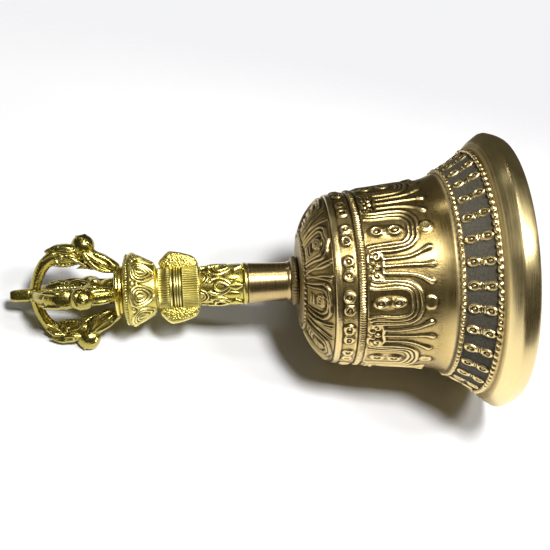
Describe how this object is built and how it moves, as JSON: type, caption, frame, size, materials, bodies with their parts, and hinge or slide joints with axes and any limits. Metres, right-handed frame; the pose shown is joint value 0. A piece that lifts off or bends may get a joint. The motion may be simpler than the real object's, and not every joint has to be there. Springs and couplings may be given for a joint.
{
  "type": "tibetan prayer bell",
  "caption": "Hand bell with a flared cast rim, relief bands, a plain stem, a crowned head, a lotus cup and a half-vajra of curved prongs, with a linked clapper inside.",
  "frame": {"origin": "centre of the mouth plane, which the bell stands on", "axes": "+Z along the bell's axis from the mouth to the handle's tip, +Y towards the face on the handle"},
  "size_m": [0.1, 0.1, 0.178],
  "materials": {
    "bell_bronze": "antique golden-brown cast bronze, polished on the high parts and dark in the recesses",
    "brushed_brass": "brushed along the axis",
    "yellow_brass": "bright yellow polished casting",
    "zinc_steel": "zinc-plated steel",
    "dark_iron": "dark forged iron, worn bright where it strikes"
  },
  "bodies": {
    "root": {"bell_shell": "bell_bronze", "crown_collar": "bell_bronze", "stem_tube": "brushed_brass", "neck_casting": "yellow_brass", "head_casting": "yellow_brass", "lotus_cup": "yellow_brass", "vajra_hub": "yellow_brass", "side_prong_1": "yellow_brass", "side_prong_2": "yellow_brass", "side_prong_3": "yellow_brass", "side_prong_4": "yellow_brass", "center_prong": "yellow_brass", "tie_rod": "zinc_steel", "crown_washer": "zinc_steel", "crown_nut": "zinc_steel", "clapper_eye": "zinc_steel"},
    "link": {"clapper_link": "dark_iron"},
    "clapper": {"clapper_rod": "dark_iron", "clapper_bob": "dark_iron"}
  },
  "joints": [
    {"name": "link_swing", "type": "hinge", "parent": "root", "child": "link", "pos_m": [0, 0, 0.0575], "axis": [0, 1, 0], "range_deg": [-8, 8]},
    {"name": "clapper_swing", "type": "hinge", "parent": "link", "child": "clapper", "pos_m": [0, 0, 0.0505], "axis": [1, 0, 0], "range_deg": [-42, 42]}
  ]
}
